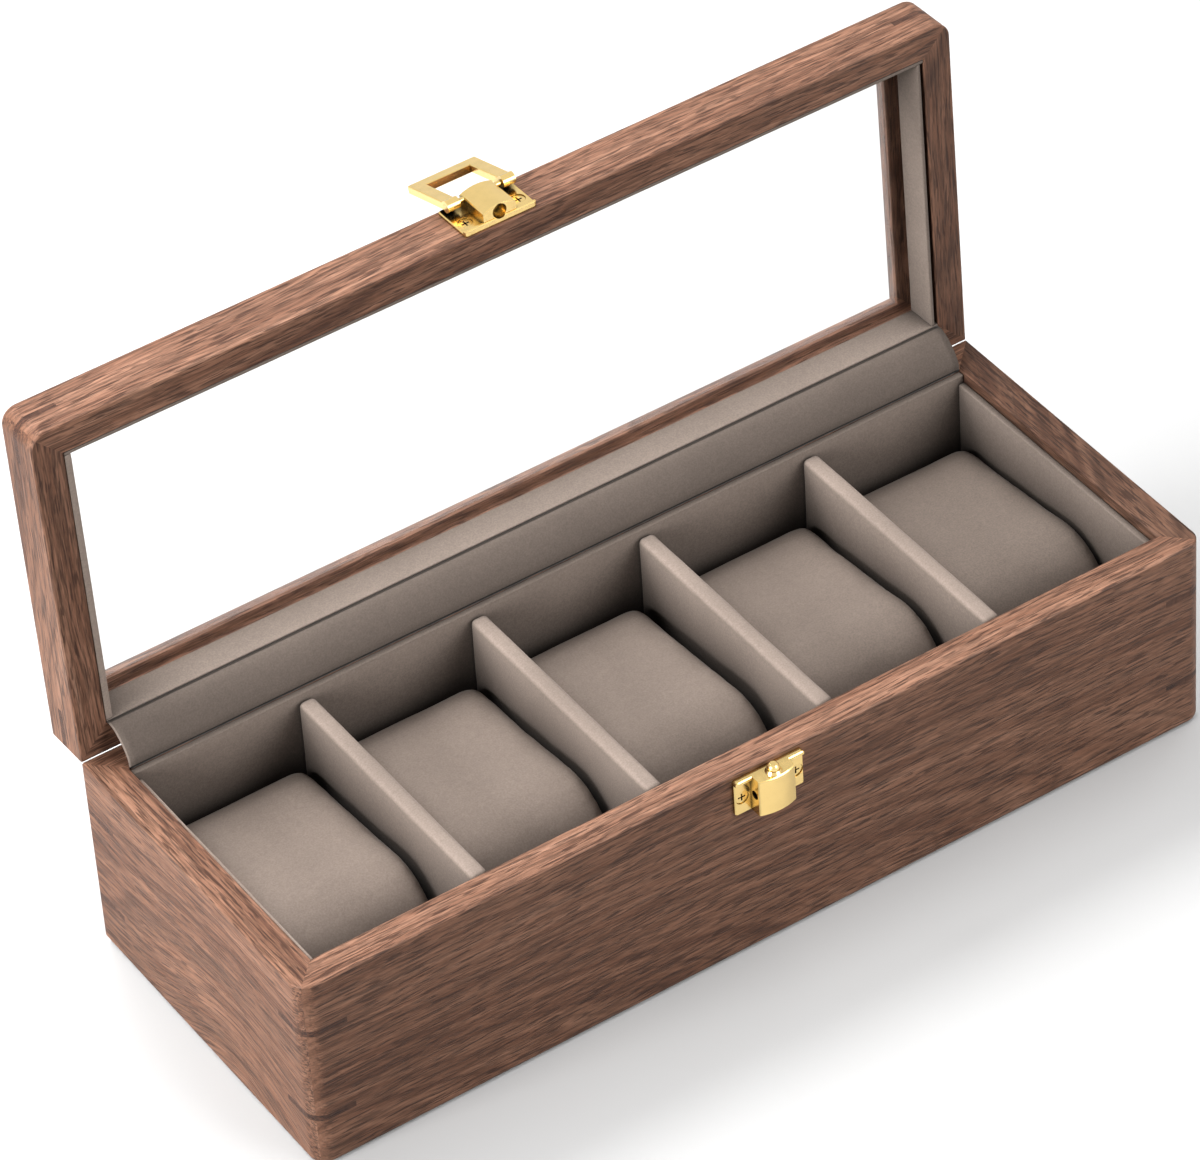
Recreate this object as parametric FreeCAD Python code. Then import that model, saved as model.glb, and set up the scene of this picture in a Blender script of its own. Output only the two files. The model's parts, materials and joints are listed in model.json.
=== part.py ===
import FreeCAD, Part

# Five-place watch box: a mitred walnut case with a glazed, hinged lid, velvet linings,
# dividers and pillows, and a ball clasp with a folding loop.
# Millimetres. X runs along the length, the front is -Y and +Z is up. The origin is the
# middle of the underside. The lid is drawn closed and then turned open about the hinge axis.

import math
import os

Vec = FreeCAD.Vector
X_AXIS = Vec(1, 0, 0)
Z_AXIS = Vec(0, 0, 1)

# ---------------------------------------------------------------- driving dimensions
LENGTH = 320.0            # outside, along X
DEPTH = 120.0             # outside, along Y
BASE_HEIGHT = 71.5
CLOSED_HEIGHT = 90.0
WALL = 10.0               # thickness of the walnut boards
RIM_GAP = 0.05            # between the two rims when the lid is shut
FRONT_CORNER_RADIUS = 5.5
EDGE_RADIUS = 2.5         # long outer edges, under the base and on top of the lid
ARRIS = 0.4               # small bevel on the rims
OPEN_ANGLE = 92.2         # how far the lid stands open

LID_LIP = 5.5             # how far the lid's top lip reaches past the walls
LID_BACK_LIP = 2.7        # the same at the back
LIP_THICKNESS = 4.5
GLASS_THICKNESS = 2.0
GLASS_MARGIN = 0.3

KEY_THICKNESS = 2.2       # slips of dark wood let in across each corner
KEY_REACH = 14.2
BASE_KEY_HEIGHTS = (19.2, 53.0)
LID_KEY_HEIGHT = 80.8

FELT_THICKNESS = 1.0      # covers the plywood bottom, flush with the boards
PANEL_THICKNESS = 4.0
RABBET_DEPTH = 3.0        # the bottom is let into the boards from below

LINING = 2.5              # velvet-covered card on the walls and floor of the base
FLOOR_LINING = 1.5
SIDE_LINING_RECESS = 3.4  # below the rim
BACK_LINING_RECESS = 0.8
LINING_ROUND = 1.0

DIVIDER_THICKNESS = 6.0
DIVIDER_TOP = 68.5
DIVIDER_ROUND = 2.6
DIVIDER_PITCH = 60.7

PILLOW_WIDTH = 51.0
PILLOW_FRONT = -33.5
PILLOW_BACK = 46.8
PILLOW_FRONT_TOP = 56.4   # height of the sloping top, before its edges are rounded
PILLOW_BACK_TOP = 48.4
PILLOW_CORNER_ROUNDS = (16.0, 10.0, 10.0, 22.0)  # front foot, back foot, back top, front top
PILLOW_END_ROUND = 4.0
PILLOW_CLEARANCE = 0.4
PILLOW_SHIFTS = (-0.8, 0.0, -1.4, 0.2, 0.8)  # how far each lies off the middle of its place
COVER_THICKNESS = 1.2

LID_LINING = 1.2
LID_BACK_LINING = 0.7
LID_LINING_RECESS = 0.1
LID_SIDE_GAP = 1.2        # the right lining stands this far off the wood; the left one fills it

HINGE_X = 95.0
HINGE_LENGTH = 30.0
HINGE_OFFSET = 0.2        # axis behind the back face
LEAF_THICKNESS = 1.0
LEAF_WIDTH = 7.0
KNUCKLE_RADIUS = 2.0
KNUCKLE_GAP = 0.1
KNUCKLE_CLEARANCE = 0.4
PIN_RADIUS = 0.8
RUNNING_CLEARANCE = 0.05
HINGE_KNUCKLES = 5
HINGE_SCREW_SPACING = 8.0

COVER_INNER_RADIUS = 10.3 # fabric strip arched over the hinge
COVER_STRIP = 0.7

CLASP_PLATE = 1.2
PLATE_CORNER = 0.9
CATCH_HALF_WIDTH = 12.2
CATCH_BOTTOM = 56.5
CATCH_TOP = 70.0
CATCH_LEDGE = 2.3
CATCH_LEDGE_HEIGHT = 1.5
CATCH_BLOCK_HALF = 6.5
CATCH_BLOCK_EDGE = 5.5
CATCH_BLOCK_CREST = 6.8
CATCH_SCREW_X = 9.6
CATCH_SCREW_Z = 62.7
CATCH_HOLE_OUT = 3.3      # round hole in the block's left side
CATCH_HOLE_Z = 63.5
CATCH_HOLE_RADIUS = 1.5
CATCH_HOLE_DEPTH = 3.5
STUD_OUT = 3.8
STUD_RADIUS = 1.9
STUD_CENTRE = 71.3
STUD_FLAT = 1.6           # the ball's flat top stands this far over its middle
STUD_STEM_RADIUS = 1.0
STUD_STEM = 4.0
STUD_COLLAR_RADIUS = 2.6
STUD_COLLAR_TOP = 2.0     # radius where the coned collar ends
STUD_COLLAR_HEIGHT = 0.9

CLASP_HALF_WIDTH = 12.5
CLASP_BOTTOM = 72.4
CLASP_TOP = 87.5
CLASP_LEDGE = 2.0
CLASP_LEDGE_HEIGHT = 1.2
CLASP_BLOCK_HALF = 5.6
CLASP_BLOCK_EDGE = 5.1
CLASP_BLOCK_CREST = 6.3
CLASP_BLOCK_BOTTOM = 72.9
CLASP_BLOCK_TOP = 85.8
CLASP_SOCKET_RADIUS = 2.4
CLASP_SOCKET_DEPTH = 4.0
CLASP_SCREW_X = 9.2
CLASP_SCREW_Z = 77.6
LOOP_PIN_OUT = 4.4
LOOP_PIN_Z = 83.8
LOOP_LENGTH = 21.7        # from the pin to the free end
LOOP_HALF_WIDTH = 11.75
LOOP_BAR = 4.2
LOOP_THICKNESS = 2.8
LOOP_KNUCKLE = 1.9
LOOP_DROOP = 15.0         # how far the folded loop leans in over the lid
LOOP_BEVEL = 0.3

SCREW_HEAD = 2.1
SCREW_SHANK = 1.1
SCREW_LENGTH = 8.0
SCREW_SEAT = 0.35         # the clasp's screws sit this deep in round seats
SCREW_SEAT_MARGIN = 0.25
SCREW_SLOT_REACH = 0.62   # cross recess, as shares of the head's radius and height
SCREW_SLOT_HALF = 0.13
SCREW_SLOT_DEPTH = 0.6
SMALL_SCREW_HEAD = 1.8
SMALL_SCREW_SHANK = 0.9
SMALL_SCREW_LENGTH = 6.5

OVERCUT = 1.0             # how far cutting shapes run past what they cut
PICK = 0.1                # slack when edges are picked by their place

# ---------------------------------------------------------------- derived places
HALF_L = LENGTH / 2
HALF_D = DEPTH / 2
INNER_X = HALF_L - WALL
INNER_Y = HALF_D - WALL
LID_BOTTOM = BASE_HEIGHT + RIM_GAP
LIP_UNDERSIDE = CLOSED_HEIGHT - LIP_THICKNESS
GLASS_UNDERSIDE = LIP_UNDERSIDE - GLASS_THICKNESS
PANEL_TOP = FELT_THICKNESS + PANEL_THICKNESS
FLOOR = PANEL_TOP + FLOOR_LINING
HINGE_Y = HALF_D + HINGE_OFFSET
HINGE_Z = BASE_HEIGHT
HINGE_POINT = Vec(0, HINGE_Y, HINGE_Z)
LOOP_PIN = Vec(0, -HALF_D - LOOP_PIN_OUT, LOOP_PIN_Z)
DIVIDER_CENTRES = [DIVIDER_PITCH * k for k in (-1.5, -0.5, 0.5, 1.5)]
LEAF_EDGE_Y = HINGE_Y - KNUCKLE_RADIUS - KNUCKLE_CLEARANCE
CLASP_FACE_Y = -HALF_D - CLASP_PLATE
SIDES = (-1, 1)


# ---------------------------------------------------------------- small helpers
def block(x0, x1, y0, y1, z0, z1):
    return Part.makeBox(x1 - x0, y1 - y0, z1 - z0, Vec(x0, y0, z0))


def prism(points, z0, z1):
    """A column over a polygon of (x, y) points."""
    corners = [Vec(x, y, z0) for x, y in points]
    face = Part.Face(Part.makePolygon(corners + corners[:1]))
    return face.extrude(Vec(0, 0, z1 - z0))


def rod(start, direction, radius, length):
    return Part.makeCylinder(radius, length, start, direction)


def edges_at(shape, test):
    """The edges whose every vertex passes the test."""
    return [e for e in shape.Edges if all(test(v.Point) for v in e.Vertexes)]


def near(a, b):
    return abs(a - b) < 1e-3


def union(shapes):
    return shapes[0].multiFuse(shapes[1:]).removeSplitter()


def export(shape, name):
    shape.exportStep("parts/" + name + ".step")


def opened(shape):
    """Turn a piece of the lid from shut to open."""
    turned = shape.copy()
    turned.rotate(HINGE_POINT, X_AXIS, -OPEN_ANGLE)
    return turned


# ---------------------------------------------------------------- case and lid boards
def rounded_block(z0, z1, soft_z):
    """The case's outline: round front corners, and a round long edge at soft_z."""
    body = block(-HALF_L, HALF_L, -HALF_D, HALF_D, z0, z1)
    front = edges_at(body, lambda p: near(p.y, -HALF_D))
    upright = [e for e in front if near(e.Vertexes[0].X, e.Vertexes[1].X)]
    body = body.makeFillet(FRONT_CORNER_RADIUS, upright)
    body = body.makeFillet(EDGE_RADIUS, edges_at(body, lambda p: near(p.z, soft_z)))
    rim_z = z1 if near(soft_z, z0) else z0
    rim = edges_at(body, lambda p: near(p.z, rim_z))
    return body.makeChamfer(ARRIS, [e for e in rim if not all(near(v.Y, HALF_D) for v in e.Vertexes)])


def bevel_hole(frame, z):
    """Take the arris off the edges of the rectangular hole at the height z."""
    rim = edges_at(frame, lambda p: near(p.z, z) and abs(p.x) < INNER_X + PICK and abs(p.y) < INNER_Y + PICK)
    return frame.makeChamfer(ARRIS, rim)


def bottom_sheet(z0, z1):
    """A sheet as large as the rabbet under the base."""
    x = INNER_X + RABBET_DEPTH
    y = INNER_Y + RABBET_DEPTH
    return block(-x, x, -y, y, z0, z1)


def base_frame():
    frame = rounded_block(0, BASE_HEIGHT, 0)
    frame = frame.cut(block(-INNER_X, INNER_X, -INNER_Y, INNER_Y, -OVERCUT, BASE_HEIGHT + OVERCUT))
    frame = bevel_hole(frame, BASE_HEIGHT)
    return frame.cut(bottom_sheet(-OVERCUT, PANEL_TOP))


def lid_frame():
    frame = rounded_block(LID_BOTTOM, CLOSED_HEIGHT, CLOSED_HEIGHT)
    recess = block(-INNER_X, INNER_X, -INNER_Y, INNER_Y, LID_BOTTOM - OVERCUT, LIP_UNDERSIDE)
    half_x = INNER_X - LID_LIP
    front_y = -INNER_Y + LID_LIP
    back_y = INNER_Y - LID_BACK_LIP
    window = block(-half_x, half_x, front_y, back_y, LIP_UNDERSIDE - OVERCUT, CLOSED_HEIGHT + OVERCUT)
    frame = bevel_hole(frame.cut(recess), LID_BOTTOM)
    return bevel_hole(frame.cut(window), CLOSED_HEIGHT)


def board_zone(side, reach, z0, z1):
    """The space one mitred board may fill; reach is how far in from the outside it goes."""
    ox = HALF_L + OVERCUT
    oy = HALF_D + OVERCUT
    ix = HALF_L - reach
    iy = HALF_D - reach
    if side == "front":
        return prism([(-ox, -oy), (ox, -oy), (ix, -iy), (-ix, -iy)], z0, z1)
    if side == "back":
        return prism([(-ox, oy), (-ix, iy), (ix, iy), (ox, oy)], z0, z1)
    if side == "left":
        return prism([(-ox, -oy), (-ix, -iy), (-ix, iy), (-ox, oy)], z0, z1)
    return prism([(ox, -oy), (ox, oy), (ix, iy), (ix, -iy)], z0, z1)


def corner_slot(sx, sy, height):
    """The slot that is sawn across one corner for a key."""
    x = sx * (HALF_L + OVERCUT)
    y = sy * (HALF_D + OVERCUT)
    reach = KEY_REACH + 2 * OVERCUT
    points = [(x, y), (x - sx * reach, y), (x, y - sy * reach)]
    return prism(points, height - KEY_THICKNESS / 2, height + KEY_THICKNESS / 2)


def boards_and_keys(frame, reach, z0, z1, key_heights):
    slots = [corner_slot(sx, sy, h) for sx in SIDES for sy in SIDES for h in key_heights]
    keys = Part.makeCompound([frame.common(slot) for slot in slots])
    slotted = frame.cut(slots)
    sides = ("front", "back", "left", "right")
    boards = {side: slotted.common(board_zone(side, reach, z0, z1)) for side in sides}
    return boards, keys


# ---------------------------------------------------------------- screws
def countersunk_screw(head, shank, length, sink):
    """A cross-recess screw along -Z whose surface is the plane z = 0."""
    screw = screw_blank(head, shank, length, sink)
    arm = head * SCREW_SLOT_REACH
    slot = head * SCREW_SLOT_HALF
    depth = sink * SCREW_SLOT_DEPTH
    along = block(-arm, arm, -slot, slot, -depth, OVERCUT)
    across = block(-slot, slot, -arm, arm, -depth, OVERCUT)
    return screw.cut([along, across])


def screw_blank(head, shank, length, sink):
    """The hole that a screw fills, with no recess."""
    cone = Part.makeCone(shank, head, sink, Vec(0, 0, -sink))
    return union([cone, rod(Vec(0, 0, -length), Z_AXIS, shank, length - sink)])


def face_front(shape, x, z, out):
    """Stand a -Z screw so that it goes in through the front face at (x, z)."""
    placed = shape.copy()
    placed.rotate(Vec(0, 0, 0), X_AXIS, 90)
    placed.translate(Vec(x, -HALF_D - out, z))
    return placed


def front_screws(spacing, z):
    """Two screws sunk in a clasp plate, and the blanks that cut their holes and round seats."""
    sink = CLASP_PLATE - SCREW_SEAT
    screw = countersunk_screw(SCREW_HEAD, SCREW_SHANK, SCREW_LENGTH, sink)
    seat = rod(Vec(0, 0, 0), Z_AXIS, SCREW_HEAD + SCREW_SEAT_MARGIN, SCREW_SEAT + OVERCUT)
    blank = union([screw_blank(SCREW_HEAD, SCREW_SHANK, SCREW_LENGTH, sink), seat])
    screws = [face_front(screw, s * spacing, z, sink) for s in SIDES]
    blanks = [face_front(blank, s * spacing, z, sink) for s in SIDES]
    return screws, blanks


# ---------------------------------------------------------------- hinges
def hinge_leaf(centre_x, side, bore):
    """side is -1 for the base's leaf, below the rim plane, and 1 for the lid's, above it."""
    rim = BASE_HEIGHT if side < 0 else LID_BOTTOM
    z0, z1 = sorted((rim, rim + side * LEAF_THICKNESS))
    step = HINGE_LENGTH / HINGE_KNUCKLES
    start_x = centre_x - HINGE_LENGTH / 2
    first = 0 if side < 0 else 1
    solids = [block(start_x, start_x + HINGE_LENGTH, LEAF_EDGE_Y - LEAF_WIDTH, LEAF_EDGE_Y, z0, z1)]
    for i in range(first, HINGE_KNUCKLES, 2):
        x0 = start_x + i * step + KNUCKLE_GAP / 2
        x1 = x0 + step - KNUCKLE_GAP
        solids.append(block(x0, x1, LEAF_EDGE_Y, HINGE_Y, z0, z1))
        solids.append(rod(Vec(x0, HINGE_Y, HINGE_Z), X_AXIS, KNUCKLE_RADIUS, x1 - x0))
    hole_start = Vec(start_x - OVERCUT, HINGE_Y, HINGE_Z)
    return union(solids).cut(rod(hole_start, X_AXIS, bore, HINGE_LENGTH + 2 * OVERCUT))


def hinge_pocket(centre_x, side):
    """What a board loses to one leaf and its knuckles."""
    rim = BASE_HEIGHT if side < 0 else LID_BOTTOM
    z0, z1 = sorted((rim - side * OVERCUT, rim + side * LEAF_THICKNESS))
    x0 = centre_x - HINGE_LENGTH / 2
    flat = block(x0, x0 + HINGE_LENGTH, LEAF_EDGE_Y - LEAF_WIDTH, HALF_D + OVERCUT, z0, z1)
    radius = KNUCKLE_RADIUS + KNUCKLE_CLEARANCE
    margin = KNUCKLE_CLEARANCE
    round_part = rod(Vec(x0 - margin, HINGE_Y, HINGE_Z), X_AXIS, radius, HINGE_LENGTH + 2 * margin)
    return [flat, round_part]


def hinge_screws(centre_x, side):
    """Two screws down through the base's leaf, or up through the lid's, with their blanks."""
    rim = BASE_HEIGHT if side < 0 else LID_BOTTOM
    y = LEAF_EDGE_Y - LEAF_WIDTH / 2
    size = (SMALL_SCREW_HEAD, SMALL_SCREW_SHANK, SMALL_SCREW_LENGTH, LEAF_THICKNESS)
    result = []
    for shape in (countersunk_screw(*size), screw_blank(*size)):
        row = []
        for s in SIDES:
            placed = shape.copy()
            if side > 0:
                placed.rotate(Vec(0, 0, 0), X_AXIS, 180)
            placed.translate(Vec(centre_x + s * HINGE_SCREW_SPACING, y, rim))
            row.append(placed)
        result.append(row)
    return result


# ---------------------------------------------------------------- soft pieces
def base_linings():
    side_top = BASE_HEIGHT - SIDE_LINING_RECESS
    back_top = BASE_HEIGHT - BACK_LINING_RECESS
    inside_x = INNER_X - LINING
    inside_y = INNER_Y - LINING
    panels = {
        "base_front_lining": block(-INNER_X, INNER_X, -INNER_Y, -inside_y, FLOOR, side_top),
        "base_left_lining": block(-INNER_X, -inside_x, -inside_y, inside_y, FLOOR, side_top),
        "base_right_lining": block(inside_x, INNER_X, -inside_y, inside_y, FLOOR, side_top),
    }
    for name, panel in panels.items():
        top = edges_at(panel, lambda p: near(p.z, side_top))
        panels[name] = panel.makeFillet(LINING_ROUND, [e for e in top if faces_inside(e, inside_x, inside_y)])
    panels["base_back_lining"] = block(-INNER_X, INNER_X, inside_y, INNER_Y, FLOOR, back_top)
    panels["floor_lining"] = block(-INNER_X, INNER_X, -INNER_Y, INNER_Y, FLOOR - FLOOR_LINING, FLOOR)
    return panels


def faces_inside(edge, inside_x, inside_y):
    """True for a lining's top edge on the compartment side."""
    start, end = [v.Point for v in edge.Vertexes]
    along_x = near(start.y, end.y) and near(abs(start.y), inside_y) and abs(start.x) > inside_x + PICK
    along_y = near(start.x, end.x) and near(abs(start.x), inside_x)
    return along_x or along_y


def divider(centre_x):
    half = DIVIDER_THICKNESS / 2
    inside_y = INNER_Y - LINING
    panel = block(centre_x - half, centre_x + half, -inside_y, inside_y, FLOOR, DIVIDER_TOP)
    top = [e for e in edges_at(panel, lambda p: near(p.z, DIVIDER_TOP)) if near(e.Length, 2 * inside_y)]
    return panel.makeFillet(DIVIDER_ROUND, top)


def pillow(centre_x, inset):
    """A pillow's outer shape, or the shape inset from it."""
    front = PILLOW_FRONT + inset
    back = PILLOW_BACK - inset
    bottom = FLOOR + PILLOW_CLEARANCE + inset
    front_top = PILLOW_FRONT_TOP - inset
    back_top = PILLOW_BACK_TOP - inset
    half = PILLOW_WIDTH / 2 - inset
    x0 = centre_x - half
    outline = [(front, bottom), (back, bottom), (back, back_top), (front, front_top)]
    points = [Vec(x0, y, z) for y, z in outline]
    body = Part.Face(Part.makePolygon(points + points[:1])).extrude(Vec(2 * half, 0, 0))
    for (y, z), radius in zip(outline, PILLOW_CORNER_ROUNDS):
        corner = edges_at(body, lambda p: near(p.y, y) and near(p.z, z))
        body = body.makeFillet(radius - inset, corner)
    ends = edges_at(body, lambda p: near(abs(p.x - centre_x), half))
    ends = [e for e in ends if near(e.Vertexes[0].X, e.Vertexes[-1].X)]
    return body.makeFillet(PILLOW_END_ROUND - inset, ends)


def compartment_centres():
    """The middle of each place between the linings and the dividers."""
    half = DIVIDER_THICKNESS / 2
    walls = [-(INNER_X - LINING)]
    for centre in DIVIDER_CENTRES:
        walls += [centre - half, centre + half]
    walls.append(INNER_X - LINING)
    return [(walls[i] + walls[i + 1]) / 2 for i in range(0, len(walls), 2)]


def hinge_cover():
    """The fabric strip that arches from the back lining over the hinges to the lid."""
    inner = COVER_INNER_RADIUS
    outer = inner + COVER_STRIP
    half = INNER_X - GLASS_MARGIN
    foot = BASE_HEIGHT - BACK_LINING_RECESS
    diagonal = math.sqrt(0.5)

    def at(y, z):
        return Vec(-half, y, z)

    def on_arc(radius):
        return at(HINGE_Y - radius * diagonal, HINGE_Z + radius * diagonal)

    outer_foot, outer_head = at(HINGE_Y - outer, HINGE_Z), at(HINGE_Y, HINGE_Z + outer)
    inner_foot, inner_head = at(HINGE_Y - inner, HINGE_Z), at(HINGE_Y, HINGE_Z + inner)
    edges = [
        Part.Arc(outer_foot, on_arc(outer), outer_head).toShape(),
        Part.LineSegment(outer_head, inner_head).toShape(),
        Part.Arc(inner_head, on_arc(inner), inner_foot).toShape(),
        Part.LineSegment(inner_foot, at(HINGE_Y - inner, foot)).toShape(),
        Part.LineSegment(at(HINGE_Y - inner, foot), at(HINGE_Y - outer, foot)).toShape(),
        Part.LineSegment(at(HINGE_Y - outer, foot), outer_foot).toShape(),
    ]
    return Part.Face(Part.Wire(edges)).extrude(Vec(2 * half, 0, 0))


def lid_linings():
    z0 = LID_BOTTOM + LID_LINING_RECESS
    z1 = GLASS_UNDERSIDE
    front_y = -INNER_Y + LID_LINING
    back_y = INNER_Y - LID_BACK_LINING
    outside_x = INNER_X - LID_SIDE_GAP
    inside_x = outside_x - LID_LINING
    return {
        "lid_front_lining": block(-INNER_X, INNER_X, -INNER_Y, front_y, z0, z1),
        "lid_back_lining": block(-INNER_X, INNER_X, back_y, INNER_Y, z0, z1),
        "lid_left_lining": block(-INNER_X, -inside_x, front_y, back_y, z0, z1),
        "lid_right_lining": block(inside_x, outside_x, front_y, back_y, z0, z1),
    }


# ---------------------------------------------------------------- clasp
def bowed_block(half, edge, crest, z0, z1):
    """A block that stands off the front face, with its outer side bowed."""
    edge_y = -HALF_D - edge
    a = Vec(-half, edge_y, z0)
    b = Vec(half, edge_y, z0)
    c = Vec(half, CLASP_FACE_Y, z0)
    d = Vec(-half, CLASP_FACE_Y, z0)
    outline = [
        Part.Arc(a, Vec(0, -HALF_D - crest, z0), b).toShape(),
        Part.makeLine(b, c),
        Part.makeLine(c, d),
        Part.makeLine(d, a),
    ]
    body = Part.Face(Part.Wire(outline)).extrude(Vec(0, 0, z1 - z0))
    return body.makeChamfer(LOOP_BEVEL, edges_at(body, lambda p: p.y < CLASP_FACE_Y - PICK))


def plate_with_ledge(half, z0, z1, ledge, ledge_z0, ledge_z1):
    whole = block(-half, half, -HALF_D - ledge, -HALF_D, z0, z1)
    corners = [e for e in whole.Edges if near(e.Length, ledge)]
    whole = whole.makeFillet(PLATE_CORNER, corners)
    plate = whole.common(block(-half, half, CLASP_FACE_Y, -HALF_D, z0, z1))
    lip = whole.common(block(-half, half, -HALF_D - ledge, -HALF_D, ledge_z0, ledge_z1))
    body = union([plate, lip])
    on_lip = edges_at(body, lambda p: near(p.y, -HALF_D - ledge))
    on_plate = edges_at(body, lambda p: near(p.y, CLASP_FACE_Y))
    on_plate = [e for e in on_plate if not ledge_z0 - PICK < e.CenterOfMass.z < ledge_z1 + PICK]
    return body.makeChamfer(LOOP_BEVEL, on_lip + on_plate)


def catch():
    screws, blanks = front_screws(CATCH_SCREW_X, CATCH_SCREW_Z)
    ledge_z0 = CATCH_TOP - CATCH_LEDGE_HEIGHT
    plate = plate_with_ledge(CATCH_HALF_WIDTH, CATCH_BOTTOM, CATCH_TOP, CATCH_LEDGE, ledge_z0, CATCH_TOP)
    plate = plate.cut(blanks)
    stud_y = -HALF_D - STUD_OUT
    stem = rod(Vec(0, stud_y, CATCH_TOP - STUD_STEM), Z_AXIS, STUD_STEM_RADIUS, STUD_STEM)
    hole_start = Vec(-CATCH_BLOCK_HALF - OVERCUT, -HALF_D - CATCH_HOLE_OUT, CATCH_HOLE_Z)
    side_hole = rod(hole_start, X_AXIS, CATCH_HOLE_RADIUS, CATCH_HOLE_DEPTH + OVERCUT)
    heights = (CATCH_BOTTOM, CATCH_TOP)
    body = bowed_block(CATCH_BLOCK_HALF, CATCH_BLOCK_EDGE, CATCH_BLOCK_CREST, *heights)
    body = body.cut([plate, stem, side_hole])
    foot = Vec(0, stud_y, CATCH_TOP)
    collar = Part.makeCone(STUD_COLLAR_RADIUS, STUD_COLLAR_TOP, STUD_COLLAR_HEIGHT, foot)
    ball = Part.makeSphere(STUD_RADIUS, Vec(0, stud_y, STUD_CENTRE))
    reach = STUD_RADIUS + OVERCUT
    keep = block(-reach, reach, stud_y - reach, stud_y + reach, CATCH_TOP, STUD_CENTRE + STUD_FLAT)
    return plate, body, union([stem, collar, ball.common(keep)]), screws, blanks


def clasp():
    screws, blanks = front_screws(CLASP_SCREW_X, CLASP_SCREW_Z)
    ledge_z1 = CLASP_BOTTOM + CLASP_LEDGE_HEIGHT
    socket_start = Vec(0, -HALF_D - STUD_OUT, CLASP_BOTTOM - OVERCUT)
    socket = rod(socket_start, Z_AXIS, CLASP_SOCKET_RADIUS, CLASP_SOCKET_DEPTH + OVERCUT)
    plate = plate_with_ledge(CLASP_HALF_WIDTH, CLASP_BOTTOM, CLASP_TOP, CLASP_LEDGE, CLASP_BOTTOM, ledge_z1)
    plate = plate.cut(blanks + [socket])
    pin = rod(LOOP_PIN - X_AXIS * LOOP_HALF_WIDTH, X_AXIS, PIN_RADIUS, 2 * LOOP_HALF_WIDTH)
    heights = (CLASP_BLOCK_BOTTOM, CLASP_BLOCK_TOP)
    body = bowed_block(CLASP_BLOCK_HALF, CLASP_BLOCK_EDGE, CLASP_BLOCK_CREST, *heights)
    return plate, body.cut([plate, socket, pin]), pin, screws, blanks


def clasp_loop():
    """Two arms on the pin and a cross bar, drawn pointing up and then leant in."""
    y0 = LOOP_PIN.y - LOOP_THICKNESS / 2
    y1 = LOOP_PIN.y + LOOP_THICKNESS / 2
    end = LOOP_PIN_Z + LOOP_LENGTH
    inner = LOOP_HALF_WIDTH - LOOP_BAR
    outline = [
        (-LOOP_HALF_WIDTH, LOOP_PIN_Z), (-LOOP_HALF_WIDTH, end), (LOOP_HALF_WIDTH, end),
        (LOOP_HALF_WIDTH, LOOP_PIN_Z), (inner, LOOP_PIN_Z), (inner, end - LOOP_BAR),
        (-inner, end - LOOP_BAR), (-inner, LOOP_PIN_Z),
    ]
    points = [Vec(x, y0, z) for x, z in outline]
    frame = Part.Face(Part.makePolygon(points + points[:1])).extrude(Vec(0, y1 - y0, 0))
    on_faces = [e for e in frame.Edges if near(e.Vertexes[0].Y, e.Vertexes[1].Y)]
    frame = frame.makeChamfer(LOOP_BEVEL, [e for e in on_faces if not near(e.BoundBox.ZMax, LOOP_PIN_Z)])
    ends = (Vec(x, LOOP_PIN.y, LOOP_PIN_Z) for x in (-LOOP_HALF_WIDTH, inner))
    loop = union([frame] + [rod(end_point, X_AXIS, LOOP_KNUCKLE, LOOP_BAR) for end_point in ends])
    start = LOOP_PIN - X_AXIS * (LOOP_HALF_WIDTH + OVERCUT)
    bore = PIN_RADIUS + RUNNING_CLEARANCE
    loop = loop.cut(rod(start, X_AXIS, bore, 2 * (LOOP_HALF_WIDTH + OVERCUT)))
    loop.rotate(LOOP_PIN, X_AXIS, -LOOP_DROOP)
    return loop


# ---------------------------------------------------------------- build
def build_base():
    reach = WALL + OVERCUT
    boards, keys = boards_and_keys(base_frame(), reach, -OVERCUT, BASE_HEIGHT + OVERCUT, BASE_KEY_HEIGHTS)
    plate, catch_body, stud, screws, blanks = catch()
    boards["front"] = boards["front"].cut(blanks)
    pins = []
    leaf_screws = []
    for side, x in (("left", -HINGE_X), ("right", HINGE_X)):
        leaf_set, leaf_blanks = hinge_screws(x, -1)
        boards["back"] = boards["back"].cut(hinge_pocket(x, -1) + leaf_blanks)
        export(hinge_leaf(x, -1, PIN_RADIUS).cut(leaf_blanks), "hinge_" + side + "_base_leaf")
        pins.append(rod(Vec(x - HINGE_LENGTH / 2, HINGE_Y, HINGE_Z), X_AXIS, PIN_RADIUS, HINGE_LENGTH))
        leaf_screws += leaf_set
    for side, board in boards.items():
        export(board, "base_" + side + "_board")
    export(keys, "base_corner_keys")
    export(Part.makeCompound(pins), "hinge_pins")
    export(Part.makeCompound(leaf_screws), "base_hinge_screws")
    export(plate, "catch_plate")
    export(catch_body, "catch_block")
    export(stud, "catch_stud")
    export(Part.makeCompound(screws), "catch_screws")

    export(bottom_sheet(FELT_THICKNESS, PANEL_TOP), "bottom_panel")
    export(bottom_sheet(0, FELT_THICKNESS), "underside_felt")
    for name, panel in base_linings().items():
        export(panel, name)
    for number, x in enumerate(DIVIDER_CENTRES, 1):
        export(divider(x), "divider_%d" % number)
    export(hinge_cover(), "hinge_cover")


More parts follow.
